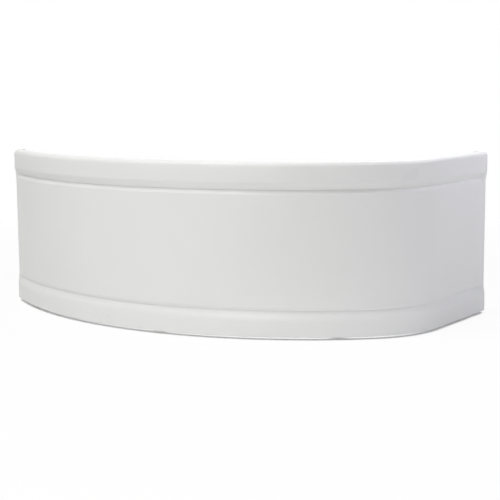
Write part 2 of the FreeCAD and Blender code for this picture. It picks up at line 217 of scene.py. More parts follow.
def shell(grid, hollow=False):
    """Points and faces of closed tubes: grid[c, i, j] is point j of ring i of copy c, in mm.

    Quads join neighbouring rings. A hollow tube's last ring meets its first, and otherwise the
    first and last rings are filled in. All faces turn round if their volume comes out negative.
    """
    copies, rings, around, _ = grid.shape
    index = np.arange(copies * rings * around).reshape(copies, rings, around)
    near = index if hollow else index[:, :-1]
    far = np.roll(index, -1, axis=1) if hollow else index[:, 1:]
    quads = np.stack([near, np.roll(near, -1, 2), np.roll(far, -1, 2), far], -1).reshape(-1, 4)
    caps = np.concatenate([index[:, 0, ::-1], index[:, -1]])
    if hollow:
        caps = caps[:0]
    points = grid.reshape(-1, 3)
    hub = np.broadcast_to(caps[:, :1], caps[:, 1:-1].shape)
    fans = np.stack([hub, caps[:, 1:-1], caps[:, 2:]], -1)
    triangles = np.concatenate([quads[:, :3], quads[:, [0, 2, 3]], fans.reshape(-1, 3)])
    a, b, c = (points[triangles[:, k]] - points.mean(axis=0) for k in range(3))
    turn = 1 if np.sum(a * np.cross(b, c)) > 0.0 else -1
    return points, [quads[:, ::turn], caps[:, ::turn]]


def add_piece(name, shells, finish, body, nodes, grain=None, crease=35.0):
    """One piece of closed shells, hung on its body. Heights count from the panel's lower edge."""
    points = [corners for corners, _ in shells]
    first = np.cumsum([0] + [len(corners) for corners in points])
    faces = [(face + start).tolist() for (_, sets), start in zip(shells, first) for face in sets]
    mesh = bpy.data.meshes.new(name)
    mesh.from_pydata((np.concatenate(points) + (0.0, 0.0, FLOOR_GAP)) * MM, [], sum(faces, []))
    if grain is not None:
        mesh.attributes.new("grain", "FLOAT_VECTOR", "POINT")
        mesh.attributes["grain"].data.foreach_set("vector", (grain * MM).astype(np.float32).ravel())
    mesh.shade_smooth()
    mesh.set_sharp_from_angle(angle=np.radians(crease))
    mesh.materials.append(finish)
    piece = bpy.data.objects.new(name, mesh)
    bpy.context.scene.collection.objects.link(piece)
    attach(piece, body)
    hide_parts(*nodes)
    return piece


def add_node(tree, kind, inputs=None, **settings):
    """One node of a tree, with its settings, and each named input set or linked from a socket."""
    made = tree.nodes.new(kind)
    for key, value in settings.items():
        setattr(made, key, value)
    for key, value in (inputs or {}).items():
        if isinstance(value, bpy.types.NodeSocket):
            tree.links.new(value, made.inputs[key])
        else:
            made.inputs[key].default_value = value
    return made


def spread(tree, value, low, high, from_low=0.0, from_high=1.0):
    """A value between from_low and from_high carried over to low and high, and held there."""
    made = add_node(tree, "ShaderNodeMapRange", {
        "Value": value, "From Min": from_low, "From Max": from_high, "To Min": low, "To Max": high,
    })
    return made.outputs["Result"]


def both(tree, first, second, operation):
    """Two values worked into one."""
    return add_node(tree, "ShaderNodeMath", {0: first, 1: second}, operation=operation).outputs[0]


def two_colours(tree, share, first, second):
    """A colour between two, by a share that changes over the surface."""
    made = add_node(tree, "ShaderNodeMix", {0: share, 6: first, 7: second}, data_type="RGBA")
    return made.outputs[2]


def new_finish(name, **constants):
    """A material with one Principled shader, and the values that are the same all over it."""
    finish = bpy.data.materials.new(name)
    finish.use_nodes = True
    shader = finish.node_tree.nodes["Principled BSDF"]
    for key, value in constants.items():
        shader.inputs[key.replace("_", " ")].default_value = value
    return finish, finish.node_tree, shader


def dress(tree, shader, colour, roughness, height, depth):
    """Colour, roughness and a bump of the given depth in metres, linked to the shader."""
    tree.links.new(colour, shader.inputs["Base Color"])
    tree.links.new(roughness, shader.inputs["Roughness"])
    bump = add_node(tree, "ShaderNodeBump", {"Height": height, "Distance": depth, "Strength": 1.0})
    tree.links.new(bump.outputs["Normal"], shader.inputs["Normal"])


# Slow drift and fine grain of a surface, which the acrylic, steel and plastic all have in some way
unevenness = bpy.data.node_groups.new("surface_unevenness", "ShaderNodeTree")
for socket in ("Drift Scale", "Grain Scale"):
    unevenness.interface.new_socket(socket, in_out="INPUT", socket_type="NodeSocketFloat")
for socket in ("Drift", "Grain"):
    unevenness.interface.new_socket(socket, in_out="OUTPUT", socket_type="NodeSocketFloat")
given = add_node(unevenness, "NodeGroupInput")
place_on = add_node(unevenness, "ShaderNodeTexCoord").outputs["Object"]
drift = add_node(unevenness, "ShaderNodeTexNoise", {
    "Vector": place_on, "Scale": given.outputs["Drift Scale"], "Detail": 3.0, "Roughness": 0.55,
})
grain_noise = add_node(unevenness, "ShaderNodeTexNoise", {
    "Vector": place_on, "Scale": given.outputs["Grain Scale"], "Detail": 2.0, "Roughness": 0.5,
})
add_node(unevenness, "NodeGroupOutput", {
    "Drift": spread(unevenness, drift.outputs["Fac"], 0.0, 1.0, 0.3, 0.7),
    "Grain": spread(unevenness, grain_noise.outputs["Fac"], 0.0, 1.0, 0.25, 0.75),
})


def uneven(tree, drift_scale, grain_scale):
    """The drift and grain of a surface at the scales given."""
    made = add_node(tree, "ShaderNodeGroup", node_tree=unevenness)
    made.inputs["Drift Scale"].default_value = drift_scale
    made.inputs["Grain Scale"].default_value = grain_scale
    return made.outputs["Drift"], made.outputs["Grain"]


acrylic, tree, shader = new_finish("white_acrylic", IOR=1.49, Specular_IOR_Level=0.25)
drift, grain = uneven(tree, 3.0, 650.0)
dress(
    tree, shader,
    colour=two_colours(tree, drift, (0.825, 0.825, 0.808, 1.0), (0.837, 0.837, 0.82, 1.0)),
    roughness=spread(tree, drift, 0.27, 0.31),
    height=grain, depth=0.00002,
)
add_piece("moulded_skin", [shell(skin_grid)], acrylic, "panel", ["acrylic_skin"])

# Glass-fibre backing: chopped strands of glass laid in polyester resin straight on to the back of
# the acrylic, rolled down to about 2.5 mm and trimmed by hand, so its back and edges are uneven.
# It reaches from lip to lip and stiffens the thin sheet.
BACKING = 2.5
BACKING_LOW = 12.0
BACKING_HIGH = 512.0
# Lumps stand on its back between the rails only, and its two ends are trimmed in waves.
LUMPS_LOW, LUMPS_HIGH, LUMPS_FADE = 50.0, 476.0, 10.0
LUMP_MEAN, LUMP_WAVE = 0.15, 0.2
TRIM_MEAN, TRIM_WAVE, TRIM_MOST, TRIM_FADE = 1.5, 1.2, 4.0, 20.0
STRAND_WIDTH = 0.0024
middle = np.concatenate([[(0.0, BACKING_HIGH, 0.0)], section[2:8], [(0.0, BACKING_LOW, 0.0)]])
bonded, open_side = (rounded(behind(middle, SKIN + d), cuts=6) for d in (0.0, BACKING))
bonded, = filled(60.0, bonded)
open_side, = filled(6.0, open_side)
backing_line = np.concatenate([bonded, open_side[::-1]])
distance = np.linspace(0.0, GROOVED_LENGTH, 340)
luck = np.random.default_rng(11)


def ripple(x, y, count, shortest, longest):
    """A smooth random height between about -1 and 1: the sum of waves of many ways and lengths."""
    way = luck.uniform(0.0, 2.0 * np.pi, count)
    length = np.exp(luck.uniform(np.log(shortest), np.log(longest), count))
    phase = luck.uniform(0.0, 2.0 * np.pi, count)
    across = x[..., None] * np.cos(way) + y[..., None] * np.sin(way)
    return np.sum(np.sin(2.0 * np.pi * across / length + phase), axis=-1) / np.sqrt(2.0 * count)


run, up = np.meshgrid(distance, backing_line[:, 1], indexing="ij")
is_back = np.r_[np.zeros(len(bonded)), np.ones(len(open_side))]
from_rails = np.minimum(up - LUMPS_LOW, LUMPS_HIGH - up)
lumpy = is_back * np.clip(from_rails / LUMPS_FADE, 0.0, 1.0)
lumps = LUMP_MEAN + LUMP_WAVE * ripple(run, up, 24, shortest=18.0, longest=160.0)
from_end = np.minimum(run, GROOVED_LENGTH - run)
trim = TRIM_MEAN + TRIM_WAVE * ripple(up, run * 0.0, 9, shortest=12.0, longest=90.0)
trim = np.clip(trim * np.clip(1.0 - from_end / TRIM_FADE, 0.0, 1.0), 0.0, TRIM_MOST)
run = run + trim * np.sign(half_length - run)
place, outward = plan_at(run.ravel())
depth = (backing_line[:, 0] + lumpy * lumps)[..., None]
flat = place.reshape(run.shape + (2,)) + outward.reshape(run.shape + (2,)) * depth
backing_grid = np.concatenate([flat, up[..., None]], axis=-1)[None]
strand_place = np.stack([run, up, np.zeros_like(run)], axis=-1)[None]

fibreglass, tree, shader = new_finish("laid_up_fibreglass", IOR=1.52)
laid = add_node(tree, "ShaderNodeAttribute", attribute_name="grain").outputs["Vector"]
strands = None
strand_ways = (0.2, 0.8, 1.35, 1.8, 2.4, 2.95)
strand_lengths = (0.033, 0.028, 0.036, 0.03, 0.038, 0.026)
for angle, length in zip(strand_ways, strand_lengths):
    lie = add_node(tree, "ShaderNodeMapping", {
        "Vector": laid, "Rotation": (0.0, 0.0, angle), "Scale": (length, STRAND_WIDTH, 1.0),
    }, vector_type="TEXTURE")
    bundle = add_node(tree, "ShaderNodeTexNoise", {
        "Vector": lie.outputs["Vector"], "Scale": 1.0, "Detail": 1.0, "Distortion": 0.3,
    })
    off = both(tree, bundle.outputs["Fac"], 0.5, "SUBTRACT")
    off = add_node(tree, "ShaderNodeMath", {0: off}, operation="ABSOLUTE").outputs[0]
    line = spread(tree, off, 1.0, 0.0, 0.0, 0.05)
    strands = line if strands is None else both(tree, strands, line, "MAXIMUM")
drift, grain = uneven(tree, 9.0, 220.0)
resin = two_colours(tree, drift, (0.60, 0.59, 0.48, 1.0), (0.70, 0.69, 0.59, 1.0))
dress(
    tree, shader,
    colour=two_colours(tree, spread(tree, strands, 0.0, 0.75), resin, (0.80, 0.79, 0.72, 1.0)),
    roughness=spread(tree, strands, 0.28, 0.55),
    height=strands, depth=0.0003,
)
add_piece(
    "backing_layer", [shell(backing_grid)], fibreglass,
    "panel", ["fibreglass_backing"], grain=strand_place, crease=50.0,
)

# Plywood rails: strips of birch plywood 15 mm thick, bonded behind the top and bottom bands.
# Those on the bow are bent to it, those on the return are straight, and none crosses the corner.
# Edges are eased with sandpaper, and veneers show on every sawn edge.
RAIL_FRONT = -(SKIN + BACKING)
RAIL_THICKNESS = 15.0
RAIL_BACK = RAIL_FRONT - RAIL_THICKNESS
RAIL_END_GAP = 5.0
RAIL_CORNER_GAP = 45.0
TOP_RAIL_LOW = 482.5
BOTTOM_RAIL_HIGH = 43.0
EASED = 1.0
VENEERS_A_METRE = 700.0


def eased_box(x_low, x_high, y_low, y_high, cuts=4, eased=EASED):
    """A rectangle's outline with its corners eased: quarter circles, corner after corner."""
    turn = np.linspace(0.0, np.pi / 2.0, cuts)[None] + np.arange(4)[:, None] * np.pi / 2.0
    x = np.array([x_high - eased, x_low + eased, x_low + eased, x_high - eased])[:, None]
    y = np.array([y_high - eased, y_high - eased, y_low + eased, y_low + eased])[:, None]
    return np.stack([x + eased * np.cos(turn), y + eased * np.sin(turn)], axis=-1).reshape(-1, 2)


def eased_ends(length_from, length_to, outline, cuts):
    """Distances for an outline's rings, and the outline at each, drawn in a little at both ends."""
    inner = np.linspace(length_from + EASED, length_to - EASED, cuts)
    along = np.r_[length_from, length_from + 0.3 * EASED, inner, length_to - 0.3 * EASED, length_to]
    middle = (outline.min(axis=0) + outline.max(axis=0)) / 2.0
    half = (outline.max(axis=0) - outline.min(axis=0)) / 2.0
    drawn = np.zeros(len(along))
    drawn[[0, -1]], drawn[[1, -2]] = EASED, 0.3 * EASED
    return along, middle + (outline - middle) * (1.0 - drawn[:, None, None] / half)


def veneer_pattern(tree):
    """Plywood's colour, roughness and height, from how far along, how deep and how far across.

    Depth counts the veneers: every second one shows long grain and the others end grain.
    """
    lie = add_node(tree, "ShaderNodeAttribute", attribute_name="grain").outputs["Vector"]
    parts = add_node(tree, "ShaderNodeSeparateXYZ", {0: lie})
    layer = both(tree, parts.outputs["Y"], VENEERS_A_METRE, "MULTIPLY")
    in_pair = both(tree, layer, 2.0, "FLOORED_MODULO")
    end_grain = spread(tree, in_pair, 0.0, 1.0, 0.96, 1.04)
    in_layer = both(tree, layer, 1.0, "FLOORED_MODULO")
    glue_line = spread(tree, in_layer, 1.0, 0.0, 0.02, 0.12)
    lengthwise = add_node(tree, "ShaderNodeMapping", {"Vector": lie, "Scale": (9.0, 90.0, 130.0)})
    figure = add_node(tree, "ShaderNodeTexNoise", {
        "Vector": lengthwise.outputs["Vector"], "Scale": 1.0, "Detail": 5.0, "Roughness": 0.6,
        "Distortion": 0.6,
    }).outputs["Fac"]
    fibre_lie = add_node(tree, "ShaderNodeMapping", {"Vector": lie, "Scale": (60.0, 900.0, 1400.0)})
    fibre = add_node(tree, "ShaderNodeTexNoise", {
        "Vector": fibre_lie.outputs["Vector"], "Scale": 1.0, "Detail": 2.0,
    }).outputs["Fac"]
    pores = add_node(tree, "ShaderNodeTexNoise", {"Vector": lie, "Scale": 1500.0, "Detail": 1.0})
    long_grain = two_colours(
        tree, spread(tree, figure, 0.0, 1.0, 0.3, 0.7),
        (0.60, 0.42, 0.24, 1.0), (0.75, 0.58, 0.38, 1.0),
    )
    across = two_colours(
        tree, pores.outputs["Fac"], (0.36, 0.22, 0.11, 1.0), (0.50, 0.33, 0.18, 1.0),
    )
    colour = two_colours(tree, end_grain, long_grain, across)
    colour = two_colours(tree, glue_line, colour, (0.22, 0.12, 0.06, 1.0))
    return colour, spread(tree, fibre, 0.5, 0.75, 0.3, 0.7), fibre


plywood, tree, shader = new_finish("birch_plywood", IOR=1.45)
colour, roughness, height = veneer_pattern(tree)
dress(tree, shader, colour, roughness, height, depth=0.00015)

rail_ends = {
    "bow": (RAIL_END_GAP, BOW_LENGTH - RAIL_CORNER_GAP),
    "return": (BOW_LENGTH + CORNER_LENGTH + RAIL_CORNER_GAP, GROOVED_LENGTH - RAIL_END_GAP),
}
rail_levels = {"top": (TOP_RAIL_LOW, BACKING_HIGH), "bottom": (BACKING_LOW, BOTTOM_RAIL_HIGH)}
for level, (z_low, z_high) in rail_levels.items():
    outline = eased_box(RAIL_BACK, RAIL_FRONT, z_low, z_high)
    for stretch, (begin, end) in rail_ends.items():
        along, drawn = eased_ends(begin, end, outline, 110)
        place, outward = plan_at(along)
        flat = place[:, None] + outward[:, None] * drawn[..., :1]
        rail_grid = np.concatenate([flat, drawn[..., 1:]], axis=-1)[None]
        lie = np.stack([
            np.broadcast_to(along[:, None], drawn.shape[:2]),
            RAIL_FRONT - drawn[..., 0],
            drawn[..., 1],
        ], axis=-1)[None]
        name = level + "_rail_" + stretch
        add_piece(
            name + "_strip", [shell(rail_grid)], plywood, "panel", [name], grain=lie,
        )

# Uprights: battens of 18 mm plywood, 60 mm wide, standing behind the rails on which they carry
# the brackets. Their fronts are planed to the rails' curve and their backs are left flat.
# One stands near each end of the bow, one at its middle and one on the return.
UPRIGHT_WIDTH = 60.0
UPRIGHT_LOW = 17.0
UPRIGHT_HIGH = 507.0
UPRIGHT_THICKNESS = 18.0
UPRIGHT_BACK = RAIL_BACK - UPRIGHT_THICKNESS
FIRST_VENEER = 0.2
GRAIN_SHIFT = 700.0
stations = {
    "left": 0.12 * BOW_LENGTH,
    "centre": 0.52 * BOW_LENGTH,
    "right": 0.92 * BOW_LENGTH,
    "return": BOW_LENGTH + CORNER_LENGTH + 0.5 * RETURN_LENGTH,
}


def set_at(station, local):
    """Local points (out of the face, along it, up) put at a distance along the face."""
    place, out = (v[0] for v in plan_at(np.array([station])))
    along = np.array([-out[1], out[0]])
    flat = place + local[..., :1] * out + local[..., 1:2] * along
    return np.concatenate([flat, local[..., 2:]], axis=-1)


rail_radius = BOW_RADIUS + RAIL_BACK
half_width = UPRIGHT_WIDTH / 2.0
for name, station in stations.items():
    outline = eased_box(UPRIGHT_BACK, RAIL_BACK, -half_width, half_width, cuts=6)
    along, drawn = eased_ends(UPRIGHT_LOW, UPRIGHT_HIGH, outline, 24)
    if station < BOW_LENGTH:
        planed = np.sqrt(rail_radius ** 2 - drawn[..., 1:] ** 2) - rail_radius
        in_front = (drawn[..., :1] - UPRIGHT_BACK) / UPRIGHT_THICKNESS
        drawn = drawn + np.concatenate([planed * in_front, 0.0 * planed], axis=-1)
    tall = np.broadcast_to(along[:, None, None], drawn.shape[:2] + (1,))
    deep = drawn[..., :1] - UPRIGHT_BACK + FIRST_VENEER
    lie = np.concatenate([tall, deep, drawn[..., 1:]], axis=-1)[None]
    batten = set_at(station, np.concatenate([drawn, tall], axis=-1))[None]
    add_piece(
        "batten_" + name, [shell(batten)], plywood, "panel", ["upright_" + name],
        grain=lie + (GRAIN_SHIFT * station / BOW_LENGTH, 0.0, 0.0),
    )

# Batten screws: countersunk wood screws, 4 mm thick and 30 mm long, bright zinc-plated steel.
# Two hold each batten to each rail, sunk to the rims of their low domed, cross-recessed heads.
UPRIGHT_SCREW_HEIGHTS = (494.75, 30.0)
UPRIGHT_SCREW_ASIDE = 24.0
# Shares of the head's greatest radius for the recess, and of the screw's radius for the thread.
RECESS_ARM, RECESS_REACH, RECESS_DEPTH = 0.17, 0.55, 0.33
THREAD_DEPTH = 0.28


def wood_screw(radius, length, head, head_rise, thread_from, pitch, turned, around=32):
    """A screw's rings (in, across, up): domed and cross-recessed head, and thread down to a point.

    In is positive into the wood, and head lists (in, radius) from the dome's rim to the shank. The
    dome falls with the radius squared. The thread's radius falls and rises once for each pitch
    along, and the crest moves round with the turn, so it winds as a right-handed helix.
    """
    theta = np.linspace(0.0, 2.0 * np.pi, around, endpoint=False)[None] + turned
    widest = head[:, 1].max()
    dome_r = np.r_[0.05, np.linspace(0.3, 0.62, 9) * head[0, 1]]
    dome_in = head[0, 0] - head_rise * (1.0 - (dome_r / widest) ** 2)
    head_r = np.r_[dome_r, head[:, 1]][:, None]
    x, y = head_r * np.cos(theta - turned), head_r * np.sin(theta - turned)
    narrow = np.minimum(np.abs(x), np.abs(y)) / (RECESS_ARM * widest)
    far = np.hypot(x, y) / (RECESS_REACH * widest)
    recess = np.clip(1.6 - narrow, 0.0, 0.6) / 0.6 * np.clip((1.0 - far) * 4.0, 0.0, 1.0)
    head_in = np.r_[dome_in, head[:, 0]][:, None] + recess * RECESS_DEPTH * widest
    along = np.arange(thread_from, length, pitch / 6.0)[:, None]
    phase = along / pitch - theta / (2.0 * np.pi)
    crest = np.abs(2.0 * (phase - np.floor(phase)) - 1.0) ** 2
    taper = np.clip((length - along) / (3.0 * radius), 0.02, 1.0)
    thread_r = radius * taper * (1.0 - THREAD_DEPTH * (1.0 - crest))
    rings_r = np.concatenate([np.broadcast_to(head_r, x.shape), thread_r])
    rings_in = np.concatenate([head_in, np.broadcast_to(along, crest.shape)])
    return np.stack([rings_in, rings_r * np.cos(theta), rings_r * np.sin(theta)], axis=-1)


zinc, tree, shader = new_finish("bright_zinc_plate", Metallic=1.0)
drift, grain = uneven(tree, 45.0, 900.0)
dress(
    tree, shader,
    colour=two_colours(tree, drift, (0.60, 0.60, 0.58, 1.0), (0.72, 0.72, 0.71, 1.0)),
    roughness=spread(tree, grain, 0.26, 0.42),
    height=grain, depth=0.00001,
)


def screw_set(seats, **sizes):
    """Screws with their heads' seats at (station, along, up, out), each turned by chance."""
    made = []
    for station, y, z, x in seats:
        rings = wood_screw(turned=luck.uniform(0.0, np.pi / 2.0), **sizes)
        made.append(set_at(station, rings + (x, y, z)))
    return [shell(np.stack(made))]


countersunk = np.array([(-0.2, 3.75), (-0.05, 3.95), (0.25, 3.95), (2.4, 2.0)])
countersunk_screw = {
    "radius": 2.0, "length": 30.0, "head": countersunk, "head_rise": 1.4,
    "thread_from": 3.0, "pitch": 1.8,
}
seats = [
    (station, y, z, UPRIGHT_BACK)
    for station in stations.values()
    for z in UPRIGHT_SCREW_HEIGHTS
    for y in (-UPRIGHT_SCREW_ASIDE, UPRIGHT_SCREW_ASIDE)
]
add_piece(
    "batten_screws", screw_set(seats, **countersunk_screw), zinc,
    "panel", ["upright_screws"], crease=40.0,
)

# Rim brackets: angles bent from 3 mm galvanised steel, 36 mm wide. A slot in the leg lets each one
# slide up and down on its two screws, and a hole in the shelf takes the screw into the bath's rim.
galvanised, tree, shader = new_finish("galvanised_sheet", Metallic=1.0)
drift, grain = uneven(tree, 18.0, 700.0)
where_on = add_node(tree, "ShaderNodeTexCoord").outputs["Object"]
spangle = add_node(tree, "ShaderNodeTexVoronoi", {
    "Vector": where_on, "Scale": 160.0, "Randomness": 1.0,
})
flake = add_node(tree, "ShaderNodeSeparateColor", {0: spangle.outputs["Color"]}).outputs[0]
cloudy = two_colours(tree, drift, (0.46, 0.47, 0.48, 1.0), (0.60, 0.61, 0.62, 1.0))
dress(
    tree, shader,
    colour=two_colours(tree, spread(tree, flake, 0.0, 0.35), cloudy, (0.74, 0.75, 0.76, 1.0)),
    roughness=spread(tree, flake, 0.36, 0.52),
    height=grain, depth=0.00002,
)
BEND_RADIUS = 2.0
CUT_EDGE = 0.4
FREE_CORNER = 5.0


def plate_outline(half_width, near, far):
    """A plate's outline (across, along), square at the bend and rounded at its two free corners."""
    swing = np.linspace(0.0, np.pi / 2.0, 8)
    x = half_width - FREE_CORNER + FREE_CORNER * np.cos(swing)
    y = far - FREE_CORNER + FREE_CORNER * np.sin(swing)
    right = np.stack([np.r_[half_width, x], np.r_[near, y]], axis=1)
    return np.concatenate([right, right[::-1] * (-1.0, 1.0), right[:1]])


def slot_outline(radius, straight):
    """A slot's outline about its middle: two half circles with a straight run between them."""
    swing = np.linspace(0.0, np.pi, 15)
    upper = np.stack([radius * np.cos(swing), straight / 2.0 + radius * np.sin(swing)], axis=1)
    return np.concatenate([upper, -upper, upper[:1]])


def plate_round_hole(outline, hole, hole_at, thick):
    """A flat plate with one hole, as outlines (across, along, deep) that go once round its section.

    Both outlines are met by the same rays from the hole's middle. The cut edges are eased, apart
    from the edge at the bend, where the plate runs on.
    """
    rims = outline - (0.0, hole_at), hole
    ray = np.unique(np.round(np.concatenate([np.arctan2(rim[:, 1], rim[:, 0]) for rim in rims]), 5))
    fine = [filled(0.1, rim)[0] for rim in rims]
    edge, bore = (
        np.interp(ray, np.arctan2(rim[:, 1], rim[:, 0]), np.hypot(*rim.T), period=2.0 * np.pi)
        for rim in fine
    )
    at_bend = edge * np.sin(ray) + hole_at < outline[:, 1].min() + 0.01
    eased = np.where(at_bend, 0.0, CUT_EDGE)
    burr = np.full_like(ray, CUT_EDGE / 2.0)
    out = np.stack([edge, edge, edge - eased, bore + burr, bore, bore, bore + burr, edge - eased])
    top = np.full_like(ray, thick)
    deep = np.stack([eased, top - eased, top, top, top - burr, burr, 0.0 * top, 0.0 * top])
    return np.stack([out * np.cos(ray), out * np.sin(ray) + hole_at, deep], axis=-1)


def bent_bracket(station, corner, way, thick, width, leg, shelf, leg_hole, shelf_hole):
    """An angle's three shells: the leg on the batten, the bend, and the shelf that stands off it.

    Corner is the height of the shelf's outer face, and way is 1 where the leg stands up from it
    and -1 where it hangs down. Each hole is its outline and how far it lies from the corner.
    """
    bend = BEND_RADIUS + thick
    outline = plate_outline(width / 2.0, bend, leg)
    across, along, deep = np.moveaxis(plate_round_hole(outline, *leg_hole, thick), -1, 0)
    leg_plate = np.stack([UPRIGHT_BACK - deep, across, corner + way * along], axis=-1)
    outline = plate_outline(width / 2.0, bend, shelf)
    across, along, deep = np.moveaxis(plate_round_hole(outline, *shelf_hole, thick), -1, 0)
    shelf_plate = np.stack([UPRIGHT_BACK - along, across, corner + way * deep], axis=-1)
    round_bend, across = eased_box(BEND_RADIUS, bend, -width / 2.0, width / 2.0, eased=CUT_EDGE).T
    swing = np.linspace(0.0, np.pi / 2.0, 12)[:, None]
    strip = np.stack([
        UPRIGHT_BACK - bend + round_bend * np.cos(swing),
        np.broadcast_to(across, (len(swing), len(across))),
        corner + way * (bend - round_bend * np.sin(swing)),
    ], axis=-1)
    return [
        shell(set_at(station, leg_plate)[None], hollow=True),
        shell(set_at(station, shelf_plate)[None], hollow=True),
        shell(set_at(station, strip)[None]),
    ]


RIM_PLATE = 3.0
RIM_ABOVE_UPRIGHT = 8.0
RIM_SLOT_FROM_TOP = 40.0
RIM_HOLE_FROM_LEG = 32.0
rim_slot = slot_outline(radius=3.1, straight=39.8), RIM_SLOT_FROM_TOP
rim_hole = slot_outline(radius=3.25, straight=0.0), RIM_HOLE_FROM_LEG
for name, station in stations.items():
    node = "rim_bracket_" + name
    angle = bent_bracket(
        station, corner=UPRIGHT_HIGH + RIM_ABOVE_UPRIGHT, way=-1.0, thick=RIM_PLATE, width=36.0,
        leg=72.0, shelf=52.0, leg_hole=rim_slot, shelf_hole=rim_hole,
    )
    add_piece("rim_angle_" + name, angle, galvanised, node, [node])

# Slot washers and screws: large zinc-plated washers, 18 mm across, bridge each bracket's slot under
# the heads of two 5 mm pan-head wood screws, which are driven into the batten and stay with it.
def washer_rings(outer, bore, thick, burr=0.1, cuts=5):
    """A washer's outline (round, up), closed: a flat ring whose outer edges are stamped round."""
    edge = 0.3 * thick
    swing = np.linspace(-np.pi / 2.0, 0.0, cuts)
    low = np.stack([outer - edge + edge * np.cos(swing), edge + edge * np.sin(swing)], axis=1)
    high = low[::-1] * (1.0, -1.0) + (0.0, thick)
    inner = [(bore + burr, thick), (bore, thick - burr), (bore, burr), (bore + burr, 0.0)]
    return np.concatenate([low, high, inner])


def turn_round(outline, around, lying):
    """An outline of (round, up) carried round its axis, upright or lying along the way out."""
    theta = np.linspace(0.0, 2.0 * np.pi, around, endpoint=False)
    x = outline[:, :1] * np.cos(theta)
    y = outline[:, :1] * np.sin(theta)
    up = np.broadcast_to(outline[:, 1:], x.shape)
    return np.stack([up, x, y] if lying else [x, y, up], axis=-1)


SLOT_WASHER = 1.5
SLOT_SCREW_HEIGHTS = (465.0, 485.0)
slot_seat = UPRIGHT_BACK - RIM_PLATE - SLOT_WASHER
washer_outline = washer_rings(outer=9.0, bore=2.6, thick=SLOT_WASHER)
slot_washer = turn_round(washer_outline, around=48, lying=True)
seats = [(station, 0.0, z, slot_seat) for station in stations.values() for z in SLOT_SCREW_HEIGHTS]
add_piece(
    "slot_washers",
    [shell(np.stack([set_at(s, slot_washer + (x, y, z)) for s, y, z, x in seats]), hollow=True)],
    zinc, "panel", ["rim_bracket_washers"], crease=40.0,
)
pan_head = np.array([
    (-2.6, 3.9), (-2.1, 4.5), (-1.4, 4.75), (-0.3, 4.75), (0.0, 4.5), (0.0, 2.5),
])
pan_head_screw = {
    "radius": 2.5, "length": 15.0, "head": pan_head, "head_rise": 0.6,
    "thread_from": 0.4, "pitch": 2.0,
}
add_piece(
    "slot_screws", screw_set(seats, **pan_head_screw), zinc,
    "panel", ["rim_bracket_screws"], crease=40.0,
)

# Foot brackets: angles bent from 4 mm galvanised steel, 38 mm wide, each held to the foot of its
# batten by two pan-head wood screws. The plate turned in at the bottom takes the foot's stud.
FOOT_PLATE = 4.0
FOOT_PLATE_LOW = 28.0
FOOT_SCREWS_FROM_PLATE = (26.0, 56.0)
STUD_FROM_LEG = 33.0
screw_hole = slot_outline(radius=2.6, straight=0.0), FOOT_SCREWS_FROM_PLATE[0]
stud_hole = slot_outline(radius=5.5, straight=0.0), STUD_FROM_LEG
for name, station in stations.items():
    node = "foot_bracket_" + name
    angle = bent_bracket(
        station, corner=FOOT_PLATE_LOW, way=1.0, thick=FOOT_PLATE, width=38.0,
        leg=72.0, shelf=58.0, leg_hole=screw_hole, shelf_hole=stud_hole,
    )
    add_piece("foot_angle_" + name, angle, galvanised, "panel", [node])
seats = [
    (station, 0.0, FOOT_PLATE_LOW + z, UPRIGHT_BACK - FOOT_PLATE)
    for station in stations.values()
    for z in FOOT_SCREWS_FROM_PLATE
]
add_piece(
    "foot_plate_screws", screw_set(seats, **pan_head_screw), zinc,
    "panel", ["foot_bracket_screws"], crease=40.0,
)

# Feet: an M10 stud through each foot bracket, with a washer and a nut above and below the plate to
# set and lock the height. The stud is moulded into a black nylon pad with a fluted rim for turning.
STUD_OUT = UPRIGHT_BACK - STUD_FROM_LEG
WASHER = 2.0
NUT_HEIGHT = 8.4
NUT_HALF_FLATS = 8.0
PITCH = 1.5
STUD_RADIUS = 4.9
STUD_THREAD = 0.85
STUD_CHAMFER = 1.0
STUD_LOW, STUD_HIGH = 5.0 - FLOOR_GAP, 100.0
FLUTE_DEPTH, FLUTES_FROM, FLUTES_FADE = 0.45, 20.0, 2.2
HALF_FLUTES = 12.0
washer_outline = washer_rings(outer=10.0, bore=5.25, thick=WASHER)
foot_washer = turn_round(washer_outline, around=48, lying=False)
foot_washers = np.stack([
    set_at(station, foot_washer + (STUD_OUT, 0.0, z))
    for station in stations.values()
    for z in (FOOT_PLATE_LOW - WASHER, FOOT_PLATE_LOW + FOOT_PLATE)
])
add_piece(
    "foot_plate_washers", [shell(foot_washers, hollow=True)], zinc,
    "panel", ["foot_washers"], crease=40.0,
)


def hexagon_nut(bore, mouth=0.6, around=72):
    """A nut's rings (x, y, up): six flats, corners cut by a cone, and a bore with widened mouths.

    The flats lie at half their width / cos(angle from the flat's middle). The cone leaves the faces
    at 0.95 of the flats' half width and drops at 30 degrees.
    """
    theta = np.linspace(0.0, 2.0 * np.pi, around, endpoint=False)
    across = NUT_HALF_FLATS / np.cos(np.mod(theta, np.pi / 3.0) - np.pi / 6.0)
    crown = np.full_like(theta, 0.95 * NUT_HALF_FLATS)
    drop = (across - crown) * np.tan(np.radians(30.0))
    hole = np.full_like(theta, bore)
    rings_r = np.stack([hole + mouth, crown, across, across, crown, hole + mouth, hole, hole])
    low = np.zeros_like(theta)
    high = low + NUT_HEIGHT
    rings_up = np.stack([low, low, drop, high - drop, high, high, high - mouth, low + mouth])
    return np.stack([rings_r * np.cos(theta), rings_r * np.sin(theta), rings_up], axis=-1)


